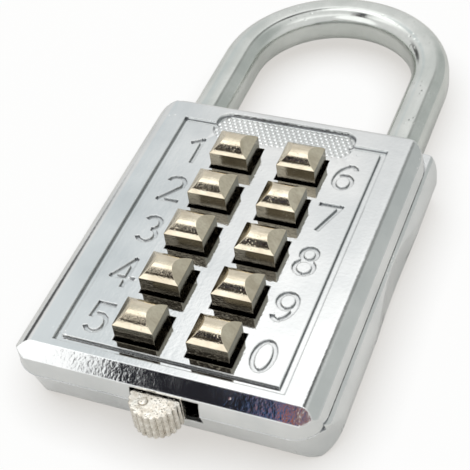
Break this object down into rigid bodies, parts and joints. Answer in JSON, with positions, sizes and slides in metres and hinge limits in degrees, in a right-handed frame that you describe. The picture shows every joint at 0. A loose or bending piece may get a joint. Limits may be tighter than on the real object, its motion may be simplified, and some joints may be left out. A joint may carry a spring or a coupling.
{
  "type": "pushbutton combination padlock",
  "caption": "Chrome pushbutton combination padlock with a U shackle, two columns of square arched buttons beside engraved digits, and a knurled release knob.",
  "frame": {"origin": "middle of the body's flat back face, on which the padlock lies", "axes": "+X across the body from the 1 column to the 6 column, +Y along the body toward the shackle, +Z out of the button face"},
  "size_m": [0.0424, 0.0879, 0.0143],
  "materials": {
    "shell_chrome": "polished chrome plating on die-cast zinc",
    "shackle_chrome": "satin chrome plating",
    "nickel": "warm nickel plating",
    "brass_plate": "stamped sheet",
    "steel": "plain steel"
  },
  "bodies": {
    "lock_body": {"front_shell": "shell_chrome", "back_shell": "shell_chrome", "spring_plate": "steel", "knob_spring": "steel", "shackle_spring": "steel", "stop_pin": "steel", "body_screw_1": "steel", "body_screw_2": "steel", "body_screw_3": "steel", "body_screw_4": "steel", "plate_screw_1": "steel", "plate_screw_2": "steel", "button_spring_1": "steel", "button_spring_2": "steel", "button_spring_3": "steel", "button_spring_4": "steel", "button_spring_5": "steel", "button_spring_6": "steel", "button_spring_7": "steel", "button_spring_8": "steel", "button_spring_9": "steel", "button_spring_0": "steel"},
    "shackle": {"shackle": "shackle_chrome"},
    "bolt": {"latch_bolt": "steel"},
    "slide": {"lock_plate": "brass_plate", "release_knob": "nickel"},
    "key_1": {"button_1": "nickel", "code_pin_1": "steel"},
    "key_2": {"button_2": "nickel", "code_pin_2": "steel"},
    "key_3": {"button_3": "nickel", "code_pin_3": "steel"},
    "key_4": {"button_4": "nickel", "code_pin_4": "steel"},
    "key_5": {"button_5": "nickel", "code_pin_5": "steel"},
    "key_6": {"button_6": "nickel", "code_pin_6": "steel"},
    "key_7": {"button_7": "nickel", "code_pin_7": "steel"},
    "key_8": {"button_8": "nickel", "code_pin_8": "steel"},
    "key_9": {"button_9": "nickel", "code_pin_9": "steel"},
    "key_0": {"button_0": "nickel", "code_pin_0": "steel"}
  },
  "joints": [
    {"name": "shackle_lift", "type": "slide", "parent": "lock_body", "child": "shackle", "axis": [0, 1, 0], "range_m": [0, 0.012]},
    {"name": "bolt_retract", "type": "slide", "parent": "lock_body", "child": "bolt", "axis": [1, 0, 0], "range_m": [0, 0.002]},
    {"name": "knob_slide", "type": "slide", "parent": "lock_body", "child": "slide", "axis": [1, 0, 0], "range_m": [0, 0.002], "stiffness_N_per_m": 250, "springref_m": -0.0008},
    {"name": "press_1", "type": "slide", "parent": "lock_body", "child": "key_1", "axis": [0, 0, -1], "range_m": [0, 0.0012], "stiffness_N_per_m": 300, "springref_m": -0.0008, "deforming": ["button_spring_1"]},
    {"name": "press_2", "type": "slide", "parent": "lock_body", "child": "key_2", "axis": [0, 0, -1], "range_m": [0, 0.0012], "stiffness_N_per_m": 300, "springref_m": -0.0008, "deforming": ["button_spring_2"]},
    {"name": "press_3", "type": "slide", "parent": "lock_body", "child": "key_3", "axis": [0, 0, -1], "range_m": [0, 0.0012], "stiffness_N_per_m": 300, "springref_m": -0.0008, "deforming": ["button_spring_3"]},
    {"name": "press_4", "type": "slide", "parent": "lock_body", "child": "key_4", "axis": [0, 0, -1], "range_m": [0, 0.0012], "stiffness_N_per_m": 300, "springref_m": -0.0008, "deforming": ["button_spring_4"]},
    {"name": "press_5", "type": "slide", "parent": "lock_body", "child": "key_5", "axis": [0, 0, -1], "range_m": [0, 0.0012], "stiffness_N_per_m": 300, "springref_m": -0.0008, "deforming": ["button_spring_5"]},
    {"name": "press_6", "type": "slide", "parent": "lock_body", "child": "key_6", "axis": [0, 0, -1], "range_m": [0, 0.0012], "stiffness_N_per_m": 300, "springref_m": -0.0008, "deforming": ["button_spring_6"]},
    {"name": "press_7", "type": "slide", "parent": "lock_body", "child": "key_7", "axis": [0, 0, -1], "range_m": [0, 0.0012], "stiffness_N_per_m": 300, "springref_m": -0.0008, "deforming": ["button_spring_7"]},
    {"name": "press_8", "type": "slide", "parent": "lock_body", "child": "key_8", "axis": [0, 0, -1], "range_m": [0, 0.0012], "stiffness_N_per_m": 300, "springref_m": -0.0008, "deforming": ["button_spring_8"]},
    {"name": "press_9", "type": "slide", "parent": "lock_body", "child": "key_9", "axis": [0, 0, -1], "range_m": [0, 0.0012], "stiffness_N_per_m": 300, "springref_m": -0.0008, "deforming": ["button_spring_9"]},
    {"name": "press_0", "type": "slide", "parent": "lock_body", "child": "key_0", "axis": [0, 0, -1], "range_m": [0, 0.0012], "stiffness_N_per_m": 300, "springref_m": -0.0008, "deforming": ["button_spring_0"]}
  ],
  "couplings": [
    {"joint": "bolt_retract", "follows": "shackle_lift", "ratio": 0.16667}
  ]
}
